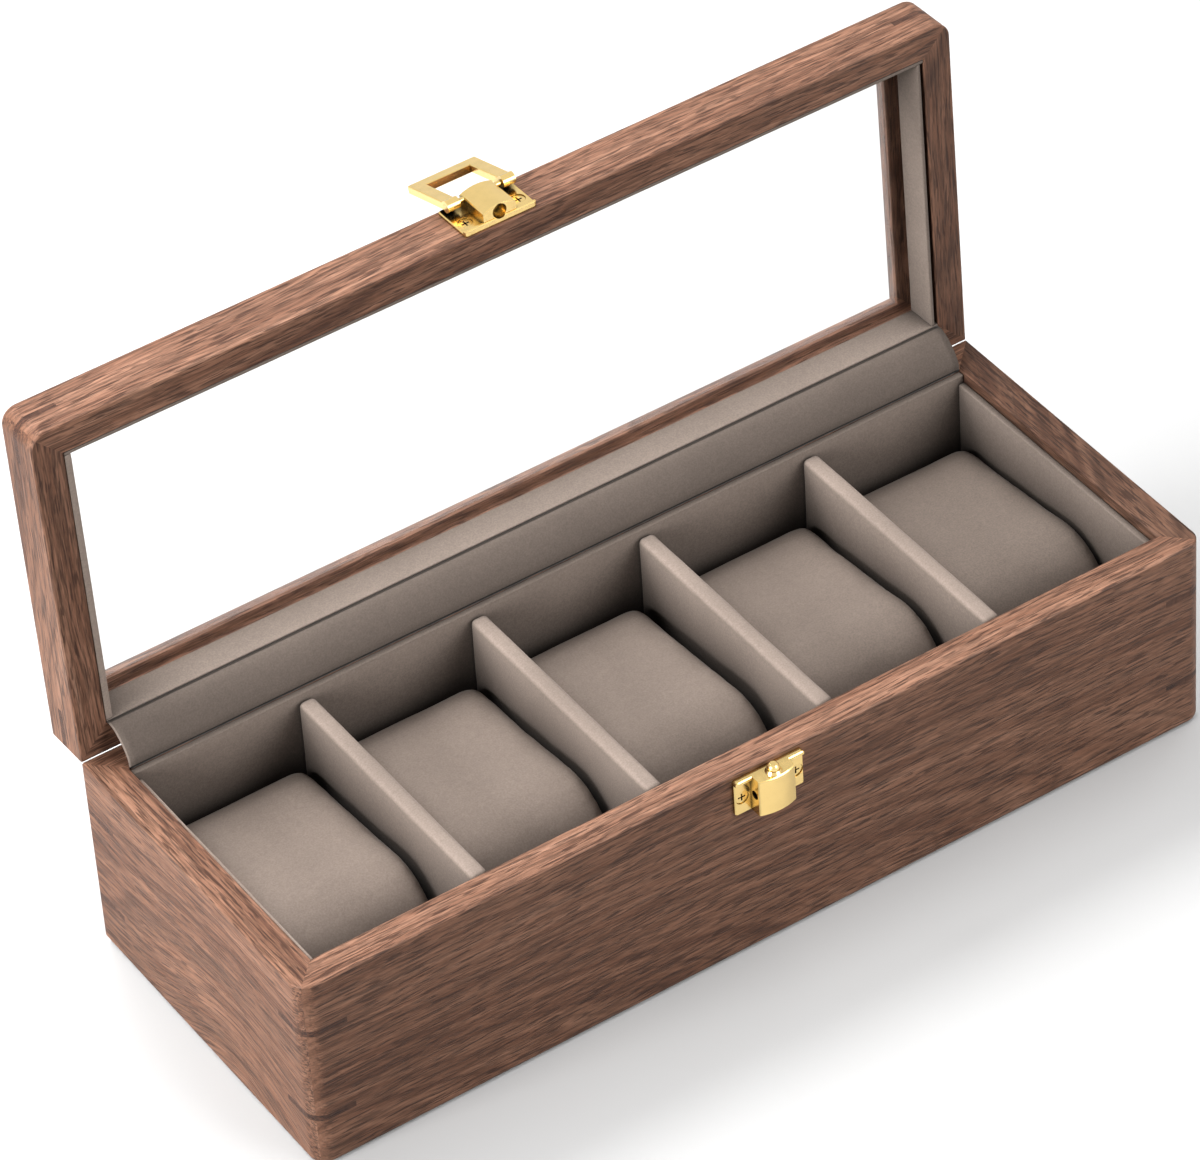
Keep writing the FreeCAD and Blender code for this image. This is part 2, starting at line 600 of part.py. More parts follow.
def build_lid():
    reach = WALL + LID_LIP + OVERCUT
    z0 = LID_BOTTOM - OVERCUT
    z1 = CLOSED_HEIGHT + OVERCUT
    boards, keys = boards_and_keys(lid_frame(), reach, z0, z1, (LID_KEY_HEIGHT,))
    plate, clasp_body, pin, screws, blanks = clasp()
    boards["front"] = boards["front"].cut(blanks)
    leaf_screws = []
    for side, x in (("left", -HINGE_X), ("right", HINGE_X)):
        leaf_set, leaf_blanks = hinge_screws(x, 1)
        boards["back"] = boards["back"].cut(hinge_pocket(x, 1) + leaf_blanks)
        leaf = hinge_leaf(x, 1, PIN_RADIUS + RUNNING_CLEARANCE).cut(leaf_blanks)
        export(opened(leaf), "hinge_" + side + "_lid_leaf")
        leaf_screws += leaf_set
    for side, board in boards.items():
        export(opened(board), "lid_" + side + "_board")
    export(opened(keys), "lid_corner_keys")
    export(opened(Part.makeCompound(leaf_screws)), "lid_hinge_screws")
    export(opened(plate), "clasp_plate")
    export(opened(clasp_body), "clasp_block")
    export(opened(pin), "clasp_pin")
    export(opened(Part.makeCompound(screws)), "clasp_screws")
    export(opened(clasp_loop()), "clasp_loop")

    glass_x = INNER_X - GLASS_MARGIN
    glass_y = INNER_Y - GLASS_MARGIN
    pane = block(-glass_x, glass_x, -glass_y, glass_y, GLASS_UNDERSIDE, LIP_UNDERSIDE)
    export(opened(pane), "glass_pane")
    for name, panel in lid_linings().items():
        export(opened(panel), name)


def build_pillows():
    for number, (centre, shift) in enumerate(zip(compartment_centres(), PILLOW_SHIFTS), 1):
        outer = pillow(centre + shift, 0)
        core = pillow(centre + shift, COVER_THICKNESS)
        export(outer.cut(core), "pillow_cover_%d" % number)
        export(core, "pillow_core_%d" % number)


os.makedirs("parts", exist_ok=True)
build_base()
build_lid()
build_pillows()
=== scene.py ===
import json
import math

import bmesh
import bpy
import numpy as np
from mathutils import Matrix, Vector, noise


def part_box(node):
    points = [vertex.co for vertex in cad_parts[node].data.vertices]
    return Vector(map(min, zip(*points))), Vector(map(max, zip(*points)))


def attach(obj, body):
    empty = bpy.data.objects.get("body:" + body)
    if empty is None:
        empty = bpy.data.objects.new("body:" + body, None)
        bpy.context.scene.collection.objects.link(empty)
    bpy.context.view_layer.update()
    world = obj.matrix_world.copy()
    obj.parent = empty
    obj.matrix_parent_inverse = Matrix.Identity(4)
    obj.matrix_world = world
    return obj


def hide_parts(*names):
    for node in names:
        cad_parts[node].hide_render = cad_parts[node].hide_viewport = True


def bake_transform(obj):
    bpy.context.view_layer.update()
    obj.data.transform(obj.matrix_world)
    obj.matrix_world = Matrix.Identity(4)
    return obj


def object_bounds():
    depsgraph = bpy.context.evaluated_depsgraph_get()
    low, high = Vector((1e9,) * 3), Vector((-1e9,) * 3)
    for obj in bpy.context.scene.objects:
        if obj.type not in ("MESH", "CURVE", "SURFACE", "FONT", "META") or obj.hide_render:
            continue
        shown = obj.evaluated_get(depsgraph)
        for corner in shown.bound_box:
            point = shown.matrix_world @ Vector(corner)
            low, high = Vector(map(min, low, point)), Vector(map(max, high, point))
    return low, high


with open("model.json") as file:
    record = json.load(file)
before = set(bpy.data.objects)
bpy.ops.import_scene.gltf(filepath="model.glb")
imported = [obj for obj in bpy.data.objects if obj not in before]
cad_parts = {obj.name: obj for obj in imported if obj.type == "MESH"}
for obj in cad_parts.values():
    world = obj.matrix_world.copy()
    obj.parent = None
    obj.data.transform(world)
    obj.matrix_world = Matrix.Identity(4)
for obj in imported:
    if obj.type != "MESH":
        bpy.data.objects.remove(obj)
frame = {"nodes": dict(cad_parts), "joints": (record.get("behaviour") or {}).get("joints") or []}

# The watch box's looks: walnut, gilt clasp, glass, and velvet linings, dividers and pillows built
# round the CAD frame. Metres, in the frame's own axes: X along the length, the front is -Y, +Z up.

CAD_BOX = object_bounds()
NODES = frame["nodes"]
JOINTS = {joint["name"]: joint for joint in frame["joints"]}

MM = 0.001
X, Y, Z = range(3)
LID_HINGE = Vector(JOINTS["lid_hinge"]["pos_m"])
OPEN_ANGLE = math.radians(-JOINTS["lid_hinge"]["range_deg"][0])

# ---------------------------------------------------------------- camera, light and floor
CAMERA_AZIMUTH = math.radians(-31.216)
CAMERA_ELEVATION = math.radians(40.924)
CAMERA_ROLL = math.radians(-4.146)
CAMERA_DISTANCE = 2.0282
CAMERA_LENS = 206.37
AIM_HEIGHT = 0.080
AIM_RIGHT = -0.01417
AIM_UP = 0.01440

# softbox: (place, side, power, whether it shows in polished faces)
SOFTBOXES = {
    "left": ((-1.8, -0.25, 0.6), 0.9, 66.0, True),
    "near_left": ((-0.52, 0.45, 0.75), 0.4, 9.5, False),
    "top": ((0.7, 0.0, 1.9), 1.3, 28.0, False),
    "back": ((0.0, 1.4, 1.5), 1.4, 51.0, False),
    "front_right": ((0.9, -1.6, 0.9), 1.2, 32.0, True),
}
WORLD_STRENGTH = 0.95
FLOOR_HALF = 6.0
FLOOR_GRAY = 0.45


def direction(azimuth, elevation):
    """The way from the object to a place at that azimuth and elevation."""
    flat = math.cos(elevation)
    return Vector((math.sin(azimuth) * flat, -math.cos(azimuth) * flat, math.sin(elevation)))


def make_camera():
    back = direction(CAMERA_AZIMUTH, CAMERA_ELEVATION)
    level = (-back).cross(Vector((0, 0, 1))).normalized()
    upright = level.cross(-back)
    right = level * math.cos(CAMERA_ROLL) + upright * math.sin(CAMERA_ROLL)
    up = upright * math.cos(CAMERA_ROLL) - level * math.sin(CAMERA_ROLL)
    aim = Vector((0, 0, AIM_HEIGHT)) + right * AIM_RIGHT + up * AIM_UP
    data = bpy.data.cameras.new("camera")
    data.lens = CAMERA_LENS
    camera = bpy.data.objects.new("camera", data)
    bpy.context.scene.collection.objects.link(camera)
    turn = Matrix((right, up, back)).transposed().to_4x4()
    camera.matrix_world = Matrix.Translation(aim + back * CAMERA_DISTANCE) @ turn
    bpy.context.scene.camera = camera


def area_light(name, place, size, power):
    data = bpy.data.lights.new(name, "AREA")
    data.size = size
    data.energy = power
    lamp = bpy.data.objects.new(name, data)
    bpy.context.scene.collection.objects.link(lamp)
    lamp.location = place
    lamp.rotation_mode = "QUATERNION"
    lamp.rotation_quaternion = place.to_track_quat("Z", "Y")
    return lamp


def make_studio():
    for name, (place, side, power, mirrored) in SOFTBOXES.items():
        area_light(name, Vector(place), side, power).visible_glossy = mirrored
    world = bpy.data.worlds.new("studio")
    bpy.context.scene.world = world
    world.cycles_visibility.diffuse = False
    world.use_nodes = True
    world.node_tree.nodes["Background"].inputs["Strength"].default_value = WORLD_STRENGTH
    world.node_tree.nodes["Background"].inputs["Color"].default_value = (1, 1, 1, 1)
    bpy.context.scene.view_settings.view_transform = "Standard"

    mesh = bpy.data.meshes.new("floor")
    corners = [(-FLOOR_HALF, -FLOOR_HALF, 0), (FLOOR_HALF, -FLOOR_HALF, 0),
               (FLOOR_HALF, FLOOR_HALF, 0), (-FLOOR_HALF, FLOOR_HALF, 0)]
    mesh.from_pydata(corners, [], [(0, 1, 2, 3)])
    floor = bpy.data.objects.new("floor", mesh)
    bpy.context.scene.collection.objects.link(floor)
    floor.visible_diffuse = False
    material = Shader("floor")
    material.principled(base_color=(FLOOR_GRAY, FLOOR_GRAY, FLOOR_GRAY), roughness=0.9)
    mesh.materials.append(material.material)


# ---------------------------------------------------------------- shader nodes
class Shader:
    """A material and short names for the nodes it is built from."""

    def __init__(self, name):
        self.material = bpy.data.materials.new(name)
        self.material.use_nodes = True
        self.tree = self.material.node_tree
        self.tree.nodes.clear()

    def node(self, kind, settings=None, **inputs):
        made = self.tree.nodes.new("ShaderNode" + kind)
        for key, value in (settings or {}).items():
            setattr(made, key, value)
        for key, value in inputs.items():
            self.feed(made.inputs[key.replace("_", " ").title()], value)
        return made

    def feed(self, socket, value):
        if isinstance(value, bpy.types.NodeSocket):
            self.tree.links.new(value, socket)
        elif isinstance(value, tuple) and len(value) == 3 and socket.type == "RGBA":
            socket.default_value = (*value, 1.0)
        else:
            socket.default_value = value

    def principled(self, **inputs):
        shader = self.node("BsdfPrincipled", None, **{k: v for k, v in inputs.items() if k != "ior"})
        if "ior" in inputs:
            shader.inputs["IOR"].default_value = inputs["ior"]
        output = self.node("OutputMaterial")
        self.tree.links.new(shader.outputs["BSDF"], output.inputs["Surface"])
        return shader

    def place(self):
        """The point in the piece's own coordinates, which are the frame's at rest."""
        return self.node("TexCoord").outputs["Object"]

    def turned(self, vector, rotation=(0, 0, 0), location=(0, 0, 0), scale=(1, 1, 1)):
        return self.node("Mapping", None, vector=vector, rotation=rotation, location=location,
                         scale=scale).outputs["Vector"]

    def noise(self, vector, scale, detail=2.0, roughness=0.5):
        """Noise from 0 to 1 with that many features a metre, one number or one for each axis."""
        stretched = self.turned(vector, scale=scale if isinstance(scale, tuple) else (scale,) * 3)
        made = self.node("TexNoise", None, vector=stretched, scale=1.0, detail=detail, roughness=roughness)
        return made.outputs["Fac"]

    def noise_line(self, value, detail=2.0, roughness=0.5):
        made = self.node("TexNoise", {"noise_dimensions": "1D"}, w=value, scale=1.0, detail=detail,
                         roughness=roughness)
        return made.outputs["Fac"]

    def math(self, operation, a, b=0.0, c=0.0):
        made = self.node("Math", {"operation": operation})
        for socket, value in zip(made.inputs, (a, b, c)):
            self.feed(socket, value)
        return made.outputs[0]

    def vector(self, operation, a, b=(0, 0, 0), output="Vector"):
        made = self.node("VectorMath", {"operation": operation})
        self.feed(made.inputs[0], a)
        self.feed(made.inputs[1], b)
        return made.outputs[output]

    def span(self, value, low, high, to_low=0.0, to_high=1.0):
        made = self.node("MapRange", {"clamp": True}, value=value, from_min=low, from_max=high,
                         to_min=to_low, to_max=to_high)
        return made.outputs["Result"]

    def ramp(self, value, stops):
        made = self.node("ValToRGB", None, fac=value)
        points = made.color_ramp.elements
        while len(points) < len(stops):
            points.new(1.0)
        for point, (place, color) in zip(points, stops):
            point.position = place
            point.color = (*color, 1.0)
        return made.outputs["Color"]

    def mix(self, amount, a, b, blend="MIX"):
        made = self.node("Mix", {"data_type": "RGBA", "blend_type": blend})
        self.feed(made.inputs["Factor"], amount)
        self.feed(made.inputs[6], a)
        self.feed(made.inputs[7], b)
        return made.outputs[2]

    def gray(self, value):
        """A number as a colour, to multiply another colour by."""
        made = self.node("CombineColor", None, red=value, green=value, blue=value)
        return made.outputs["Color"]

    def bump(self, height, distance, strength=1.0):
        made = self.node("Bump", None, height=height, distance=distance, strength=strength)
        return made.outputs["Normal"]


# ---------------------------------------------------------------- materials
# features a metre: along the grain, then twice across it
WARP_SCALE = (7, 26, 26)
STREAK_SCALE = (16, 420, 420)
FIBRE_SCALE = (75, 1150, 1150)
MOTTLE_SCALE = (30, 70, 70)
PORE_SCALE = (110, 1600, 1600)
# features a metre outwards from the heart
BAND_RATE = 480.0
BROAD_RATE = 60.0
LINE_RATE = 260.0
# span: (noise at the low end, noise at the high end, shade there, shade there)
FIBRE_SPAN = (0.40, 0.60, 0.64, 1.36)
FIBRE_ROUGHNESS = (0.2, 0.8, 0.45, 0.62)
MOTTLE_SPAN = (0.3, 0.7, 0.90, 1.10)
LINE_SPAN = (0.0, 0.035, 0.72, 1.0)
PORE_SPAN = (0.55, 0.62)
PORE_SHARE = 0.7
PORE_SHADE = 0.5
WARP_REACH = 0.007
BAND_SHARE, BROAD_SHARE, STREAK_SHARE = 0.35, 0.25, 0.40
GRAIN_SPAN = (0.27, 0.73)
END_GRAIN = (5 * MM, 2 * MM, 1.0, 0.25)
WOOD_RELIEF = 0.15 * MM
WOOD_SEED_STEP = 0.37
WOOD_SPECULAR = 0.25


def wood(name, on_lid, across, pith, tilt, seed, stops, light=1.0, figure=None, half_length=0.0):
    """Solid wood cut from round a pith. across turns the grain from X to Y; pith is how far the
    heart lies from the board, and tilt how it leans; stops are the colours from late to early wood.
    figure is the middle, spread and rise of a place where the grain arches up round a hidden knot.
    A board with a half_length has calmer fibres where its rounded corners cut across the grain."""
    s = Shader(name)
    point = s.place()
    if on_lid:
        point = s.turned(point, rotation=(OPEN_ANGLE, 0, 0))
    if across:
        point = s.turned(point, rotation=(0, 0, -math.pi / 2))
    grain = s.turned(point, location=(seed * WOOD_SEED_STEP, 0, 0))

    warp = s.node("TexNoise", None, vector=s.turned(grain, scale=WARP_SCALE), scale=1.0, detail=3.0)
    bend = s.vector("SUBTRACT", warp.outputs["Color"], (0.5, 0.5, 0.5))
    grain = s.vector("ADD", grain, s.vector("MULTIPLY", bend, (0.0, WARP_REACH, WARP_REACH)))
    if figure:
        middle, spread, rise = figure
        away = s.vector("MULTIPLY", s.vector("SUBTRACT", point, middle), tuple(1 / r for r in spread))
        away = s.vector("DOT_PRODUCT", away, away, output="Value")
        arch = s.math("MULTIPLY", s.math("EXPONENT", s.math("MULTIPLY", away, -1.0)), -rise)
        grain = s.vector("ADD", grain, s.node("CombineXYZ", None, z=arch).outputs["Vector"])
    heart = s.turned(grain, rotation=(0, tilt[0], tilt[1]), location=(0, pith[0], pith[1]))
    ring = s.vector("LENGTH", s.vector("MULTIPLY", heart, (0, 1, 1)), output="Value")

    bands = s.noise_line(s.math("MULTIPLY", ring, BAND_RATE), detail=2.0, roughness=0.6)
    broad = s.noise_line(s.math("MULTIPLY", ring, BROAD_RATE), detail=1.0)
    crossing = s.math("SUBTRACT", s.noise_line(s.math("MULTIPLY", ring, LINE_RATE), detail=0.0), 0.5)
    line = s.span(s.math("ABSOLUTE", crossing), *LINE_SPAN)
    streak = s.noise(grain, STREAK_SCALE, detail=3.0, roughness=0.65)
    fibre = s.noise(grain, FIBRE_SCALE, detail=3.0, roughness=0.8)
    mottle = s.noise(grain, MOTTLE_SCALE, detail=2.0)
    pores = s.span(s.noise(grain, PORE_SCALE, detail=1.0), *PORE_SPAN)
    if half_length:
        along = s.math("ABSOLUTE", s.node("SeparateXYZ", None, vector=point).outputs["X"])
        start, end, far, near = END_GRAIN
        calm = s.span(along, half_length - start, half_length - end, far, near)
        streak, fibre = (s.math("MULTIPLY_ADD", s.math("SUBTRACT", grade, 0.5), calm, 0.5)
                         for grade in (streak, fibre))
        pores = s.math("MULTIPLY", pores, calm)

    depth = s.math("ADD", s.math("MULTIPLY", bands, BAND_SHARE), s.math("MULTIPLY", broad, BROAD_SHARE))
    depth = s.math("ADD", depth, s.math("MULTIPLY", streak, STREAK_SHARE))
    color = s.ramp(s.span(depth, *GRAIN_SPAN), stops)
    shade = s.math("MULTIPLY", s.span(fibre, *FIBRE_SPAN), s.span(mottle, *MOTTLE_SPAN))
    shade = s.math("MULTIPLY", shade, line)
    # the board's lightness scales the colour and the pores: its own level, and painted shade on the
    # right-hand boards
    color = s.mix(1.0, color, s.gray(s.math("MULTIPLY", shade, light)), "MULTIPLY")
    dark = tuple(PORE_SHADE * light * c for c in stops[0][1])
    color = s.mix(s.math("MULTIPLY", pores, PORE_SHARE), color, dark)

    height = s.math("SUBTRACT", s.math("MULTIPLY", fibre, 0.25), s.math("MULTIPLY", pores, 0.75))
    shader = s.principled(base_color=color, roughness=s.span(fibre, *FIBRE_ROUGHNESS),
                          normal=s.bump(height, WOOD_RELIEF, 0.6))
    shader.inputs["Specular IOR Level"].default_value = WOOD_SPECULAR
    return s.material


WALNUT_STOPS = ((0.0, (0.046, 0.019, 0.012)), (0.35, (0.103, 0.048, 0.029)),
                (0.65, (0.167, 0.085, 0.054)), (1.0, (0.205, 0.115, 0.078)))
KEY_STOPS = ((0.0, (0.030, 0.013, 0.009)), (1.0, (0.090, 0.042, 0.026)))
PLY_STOPS = ((0.0, (0.16, 0.10, 0.055)), (1.0, (0.28, 0.20, 0.12)))

# figure: (middle, spread, rise), in the board's own axes with X along the grain
LEFT_FIGURE = ((-0.018, 0.160, -0.005), (0.036, 0.200, 0.042), 0.026)
# board: (grain across, distance to the heart, lean of the heart, seed, lightness, figure); lightness is the
# board's own colour level, and the right-hand boards' lower lightness is painted shade
BOARDS = {
    "base_front_board": (False, (0.115, 0.030), (0.05, 0.10), 1, 1.15, None),
    "base_back_board": (False, (-0.095, 0.020), (0.04, -0.06), 2, 1.1, None),
    "base_left_board": (True, (-0.060, -0.012), (0.0, 0.03), 3, 1.12, LEFT_FIGURE),
    "base_right_board": (True, (-0.070, 0.030), (-0.10, 0.22), 4, 0.55, None),
    "lid_front_board": (False, (0.120, -0.055), (0.03, 0.05), 5, 1.15, None),
    "lid_back_board": (False, (-0.110, -0.055), (0.03, 0.05), 6, 1.0, None),
    "lid_left_board": (True, (0.120, -0.060), (0.06, 0.05), 7, 1.05, None),
    "lid_right_board": (True, (-0.100, -0.060), (0.06, 0.09), 8, 0.85, None),
}


VELVET = (0.180, 0.144, 0.122)
BRUSHED_SCALE = 50
CLOUD_SCALE = 500
NAP_SCALE = 1900
BRUSHED_SPAN = (0.3, 0.7, 0.97, 1.03)
CLOUD_SPAN = (0.3, 0.7, 0.96, 1.04)
CLOUD_ROUGHNESS = (0.3, 0.7, 0.88, 1.0)
NAP_SPAN = (0.3, 0.7, 0.90, 1.10)
HOLLOW_SHADE_SPAN = (0.1, 0.8)
NAP_HEIGHT, CLOUD_HEIGHT = 0.6, 0.4
VELVET_RELIEF = 0.12 * MM
VELVET_SHEEN = {"Specular IOR Level": 0.12, "Sheen Weight": 0.12, "Sheen Roughness": 0.35,
                "Sheen Tint": (0.95, 0.90, 0.86, 1.0)}


def velvet(name, seed, changes=(), hollow_shade=(0.030, 0.25), light_and_shade=1.0, on_lid=False):
    """Short soft nap, crushed a little where it has been brushed. Each change is an axis, where along
    it the change starts and ends, and the shade there: painted shade makes low places darker, and
    painted highlights make lit edges paler. The hollow shade is how far the painted shade looks for
    neighbours, and how dark it paints the closest corners. The overall level scales the whole colour
    as painted light and shade."""
    s = Shader(name)
    own = s.place()
    if on_lid:
        own = s.turned(own, rotation=(OPEN_ANGLE, 0, 0))
    point = s.turned(own, location=(seed, seed, 0))
    brushed = s.noise(point, BRUSHED_SCALE, detail=2.0)
    cloud = s.noise(point, CLOUD_SCALE, detail=2.0, roughness=0.6)
    nap = s.noise(point, NAP_SCALE, detail=1.0)
    shade = s.math("MULTIPLY", s.span(brushed, *BRUSHED_SPAN), s.span(cloud, *CLOUD_SPAN))
    shade = s.math("MULTIPLY", shade, s.span(nap, *NAP_SPAN))
    axes = s.node("SeparateXYZ", None, vector=own).outputs
    for axis, start, end, low, high in changes:
        shade = s.math("MULTIPLY", shade, s.span(axes[axis], start, end, low, high))
    reach, closed = hollow_shade
    # painted shade: ambient occlusion darkens the colour in corners and crevices
    open_sky = s.node("AmbientOcclusion", {"samples": 8}, distance=reach).outputs["AO"]
    shade = s.math("MULTIPLY", shade, s.span(open_sky, *HOLLOW_SHADE_SPAN, closed, 1.0))
    # the whole colour is scaled by the piece's level of painted light and shade
    tint = s.mix(1.0, tuple(light_and_shade * c for c in VELVET), s.gray(shade), "MULTIPLY")
    height = s.math("ADD", s.math("MULTIPLY", nap, NAP_HEIGHT), s.math("MULTIPLY", cloud, CLOUD_HEIGHT))
    shader = s.principled(base_color=tint, roughness=s.span(cloud, *CLOUD_ROUGHNESS),
                          normal=s.bump(height, VELVET_RELIEF, 0.4))
    for socket, value in VELVET_SHEEN.items():
        shader.inputs[socket].default_value = value
    return s.material


MARKS_SCALE = 300
SCRATCH_SCALE = (500, 6000, 6000)
METAL_RELIEF = 0.01 * MM
METAL_HOLLOW_SHADE = 3 * MM
METAL_HOLLOW_SHADE_SPAN = (0.35, 0.80, 0.06, 1.0)


def metal(name, color, smooth, rough):
    """Plated metal with faint scratches and handling marks, and painted shade in its holes and gaps."""
    s = Shader(name)
    point = s.place()
    marks = s.noise(point, MARKS_SCALE, detail=3.0)
    scratch = s.noise(point, SCRATCH_SCALE, detail=2.0)
    tint = s.mix(s.span(marks, 0.35, 0.75, 0.0, 0.25), color, tuple(0.8 * c for c in color))
    # painted shade: ambient occlusion darkens the colour in holes and gaps
    open_sky = s.node("AmbientOcclusion", {"samples": 8}, distance=METAL_HOLLOW_SHADE).outputs["AO"]
    tint = s.mix(1.0, tint, s.gray(s.span(open_sky, *METAL_HOLLOW_SHADE_SPAN)), "MULTIPLY")
    level = s.math("ADD", s.span(marks, 0.3, 0.7, smooth, rough), s.span(scratch, 0.55, 0.8, 0.0, 0.05))
    s.principled(base_color=tint, metallic=1.0, roughness=level, normal=s.bump(scratch, METAL_RELIEF, 0.3))
    return s.material


HAZE_SCALE = 35
GLASS_IOR = 1.45


def clear_glass():
    s = Shader("glass")
    haze = s.noise(s.place(), HAZE_SCALE, detail=3.0)
    s.principled(base_color=(0.98, 0.99, 0.99), roughness=s.span(haze, 0.4, 0.8, 0.0, 0.03), alpha=0.12,
                 transmission_weight=1.0, ior=GLASS_IOR)
    return s.material


FELT = (0.028, 0.024, 0.022)
FELT_FIBRE_SCALE = 1500
FELT_PATCH_SCALE = 90
FELT_RELIEF = 0.3 * MM


def felt_cloth():
    s = Shader("felt")
    point = s.place()
    fibre = s.noise(point, FELT_FIBRE_SCALE, detail=3.0, roughness=0.7)
    patch = s.noise(point, FELT_PATCH_SCALE, detail=3.0)
    shade = s.math("MULTIPLY", s.span(fibre, 0.3, 0.7, 0.7, 1.3), s.span(patch, 0.3, 0.7, 0.9, 1.1))
    tint = s.mix(1.0, FELT, s.gray(shade), "MULTIPLY")
    s.principled(base_color=tint, roughness=1.0, normal=s.bump(fibre, FELT_RELIEF, 0.8))
    return s.material


GILT = (0.90, 0.65, 0.26)
HINGE_BRASS = (0.70, 0.50, 0.24)
KEY_SEED = 10


def dress_cad_nodes():
    """Give every CAD node that stays in view its material."""
    for node, (across, pith, tilt, seed, light, figure) in BOARDS.items():
        on_lid = node.startswith("lid_")
        half_length = 0.0 if across else CAD_BOX[1][0]
        paint(node, wood("walnut_" + node, on_lid, across, pith, tilt, seed, WALNUT_STOPS, light, figure,
                         half_length))
    for seed, (node, on_lid) in enumerate((("base_corner_keys", False), ("lid_corner_keys", True))):
        paint(node, wood(node, on_lid, False, (0.05, 0.05), (0.1, math.pi / 4), KEY_SEED + seed, KEY_STOPS))
    paint("bottom_panel", wood("plywood", False, False, (0.3, 0.4), (0.1, 0.02), 12, PLY_STOPS))
    gilt = metal("gilt", GILT, smooth=0.16, rough=0.24)
    brass = metal("hinge_brass", HINGE_BRASS, smooth=0.25, rough=0.42)
    for node in ("catch_plate", "catch_block", "catch_stud", "catch_screws", "clasp_plate", "clasp_block",
                 "clasp_pin", "clasp_screws", "clasp_loop"):
        paint(node, gilt)
    for node in NODES:
        if "leaf" in node or node in ("hinge_pins", "base_hinge_screws", "lid_hinge_screws"):
            paint(node, brass)
    paint("glass_pane", clear_glass())


def paint(node, material):
    mesh = NODES[node].data
    mesh.materials.clear()
    mesh.materials.append(material)


# ---------------------------------------------------------------- soft shapes
def add_object(name, verts, faces, material):
    mesh = bpy.data.meshes.new(name)
    mesh.from_pydata([tuple(v) for v in verts], [], faces)
    mesh.materials.append(material)
    mesh.shade_smooth()
    made = bpy.data.objects.new(name, mesh)
    bpy.context.scene.collection.objects.link(made)
    return made


ROUND_STEPS = 4
JUST_UNDER_HALF = 0.49
WANDER_RATE = 60
WANDER_SEED_STEP = 7.3


def stations(low, high, radius, spacing):
    """Grid places from low to high: close together in the rounded ends, then evenly spaced."""
    curve = [radius * (1 - math.cos(math.pi / 2 * k / ROUND_STEPS)) for k in range(ROUND_STEPS)]
    count = max(2, round((high - low - 2 * radius) / spacing))
    middle = [low + radius + (high - low - 2 * radius) * k / count for k in range(count + 1)]
    return [low + c for c in curve] + middle + [high - c for c in reversed(curve)]


def rounded_box(name, low, high, radius, spacing, relief, seed, material):
    """A closed box with soft edges, whose faces wander by up to relief."""
    reach = [min(radius, (high[i] - low[i]) * JUST_UNDER_HALF) for i in range(3)]
    axes = [stations(low[i], high[i], reach[i], spacing) for i in range(3)]
    last = [len(a) - 1 for a in axes]
    index = {}
    verts = []
    faces = []

    def vertex(key):
        if key not in index:
            index[key] = len(verts)
            verts.append(Vector([axes[i][key[i]] for i in range(3)]))
        return index[key]

    for axis in range(3):
        u, v = (axis + 1) % 3, (axis + 2) % 3
        for side in (0, last[axis]):
            for a in range(last[u]):
                for b in range(last[v]):
                    ring = []
                    for da, db in ((0, 0), (1, 0), (1, 1), (0, 1)):
                        key = [0, 0, 0]
                        key[axis], key[u], key[v] = side, a + da, b + db
                        ring.append(vertex(tuple(key)))
                    faces.append(ring if side else ring[::-1])

    for number, p in enumerate(verts):
        core = Vector([min(max(p[i], low[i] + reach[i]), high[i] - reach[i]) for i in range(3)])
        out = p - core
        if out.length > 1e-9:
            scaled = Vector([out[i] / reach[i] for i in range(3)]).normalized()
            p = core + Vector([scaled[i] * reach[i] for i in range(3)])
            wander = noise.noise(Vector((p.x * WANDER_RATE + seed * WANDER_SEED_STEP,
                                         p.y * WANDER_RATE, p.z * WANDER_RATE)))
            p = p + scaled * relief * (0.5 * wander - 0.5)
        verts[number] = p
    return add_object(name, verts, faces, material)


def stand_in(piece, body, *nodes):
    """Ride the body and take the place of the CAD nodes."""
    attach(piece, body)
    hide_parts(*nodes)
    return piece


# painted shade in the rooms deepens below this height
DEEP_SHADE_HEIGHT = 0.035
DEEP_SHADE_FADE = 15 * MM
LINING_ROUND = 0.6 * MM
LINING_GRID = 4 * MM
LINING_RELIEF = 0.2 * MM
TOP_EDGE = (0.8 * MM, 0.2 * MM)
# a painted highlight along the left lining's top edge, and painted shade along the back lining's
TOP_EDGE_LIGHT_AND_SHADE = {"base_left_lining": 1.5, "base_back_lining": 0.7}
# painted shade darkens the right lining, and painted light lifts the back one
LINING_LIGHT_AND_SHADE = {"base_right_lining": 0.75, "base_back_lining": 1.05}


def make_linings():
    for seed, node in enumerate(("base_front_lining", "base_back_lining", "base_left_lining",
                                 "base_right_lining", "floor_lining"), 1):
        low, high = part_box(node)
        # painted highlight or painted shade along the top edge
        top = (Z, high.z - TOP_EDGE[0], high.z - TOP_EDGE[1], 1.0, TOP_EDGE_LIGHT_AND_SHADE.get(node, 1.0))
        # painted shade, darker towards the bottom of the rooms
        deep_shade = (Z, DEEP_SHADE_HEIGHT, DEEP_SHADE_HEIGHT + DEEP_SHADE_FADE, 0.35, 1.0)
        piece = rounded_box(node + "_velvet", low, high, LINING_ROUND, LINING_GRID, LINING_RELIEF, seed,
                            velvet(node, seed, (top, deep_shade), light_and_shade=LINING_LIGHT_AND_SHADE.get(node, 1.0)))
        stand_in(piece, "base", node)


DIVIDER_ROUND = 1.9 * MM
DIVIDER_GRID = 3 * MM
DIVIDER_RELIEF = 0.3 * MM
DIVIDER_TOP_HIGHLIGHT = (1.4 * MM, 0.6 * MM)
DIVIDER_SHADE_FADE = 10 * MM
DIVIDER_SEED = 10


